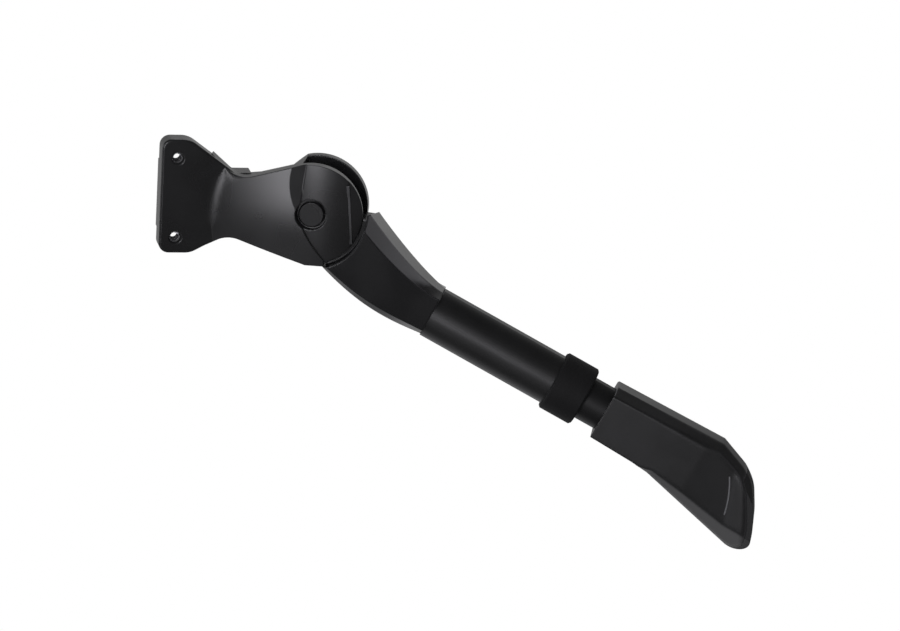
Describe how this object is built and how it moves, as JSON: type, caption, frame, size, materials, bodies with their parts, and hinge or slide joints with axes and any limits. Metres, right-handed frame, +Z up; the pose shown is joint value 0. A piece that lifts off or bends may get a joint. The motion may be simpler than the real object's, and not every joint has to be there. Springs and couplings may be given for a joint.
{
  "type": "bicycle side stand",
  "caption": "Black side stand for a bicycle: a bracket that bolts to the chainstay, a folding leg with a telescopic tube and locking collar, and a moulded foot.",
  "frame": {"origin": "middle of the two tapped holes, on the face that meets the chainstay", "axes": "+Z up, +X to the rear of the bicycle, +Y inboard, out of the mounting face towards the chainstay"},
  "size_m": [0.1906, 0.103, 0.299],
  "materials": {
    "bracket_paint": "die-cast, semi-gloss black paint",
    "leg_paint": "die-cast, matt black paint",
    "tube_finish": "satin black anodised",
    "black_steel": "black oxide",
    "plated_steel": "zinc plated",
    "spring_steel": "spring temper, oiled",
    "bearing_bronze": "sintered bronze",
    "washer_plastic": "smooth moulded",
    "collar_plastic": "fine matt grain",
    "foot_plastic": "satin moulded",
    "sole_rubber": "moulded"
  },
  "bodies": {
    "bracket": {"mounting_bracket": "bracket_paint", "pivot_pin": "black_steel", "pin_washer": "plated_steel", "pin_retaining_ring": "plated_steel", "detent_leaf_inner": "spring_steel", "detent_leaf_outer": "spring_steel"},
    "leg": {"leg_head": "leg_paint", "pivot_bush": "bearing_bronze", "thrust_washer_outboard": "washer_plastic", "thrust_washer_inboard": "washer_plastic", "outer_tube": "tube_finish", "tube_roll_pin": "plated_steel", "lock_collar": "collar_plastic", "collar_nut": "plated_steel", "collar_screw": "black_steel"},
    "extension": {"inner_tube": "tube_finish", "inner_tube_cap": "foot_plastic", "foot": "foot_plastic", "sole_pad": "sole_rubber", "foot_screw": "black_steel"}
  },
  "joints": [
    {"name": "leg_fold", "type": "hinge", "parent": "bracket", "child": "leg", "pos_m": [-0.0042, -0.012, -0.0695], "axis": [0, -0.9511, 0.309], "range_deg": [0, 108], "deforming": ["detent_leaf_inner", "detent_leaf_outer"]},
    {"name": "leg_extend", "type": "slide", "parent": "leg", "child": "extension", "axis": [-0.4289, -0.2791, -0.8591], "range_m": [-0.008, 0.032]}
  ]
}
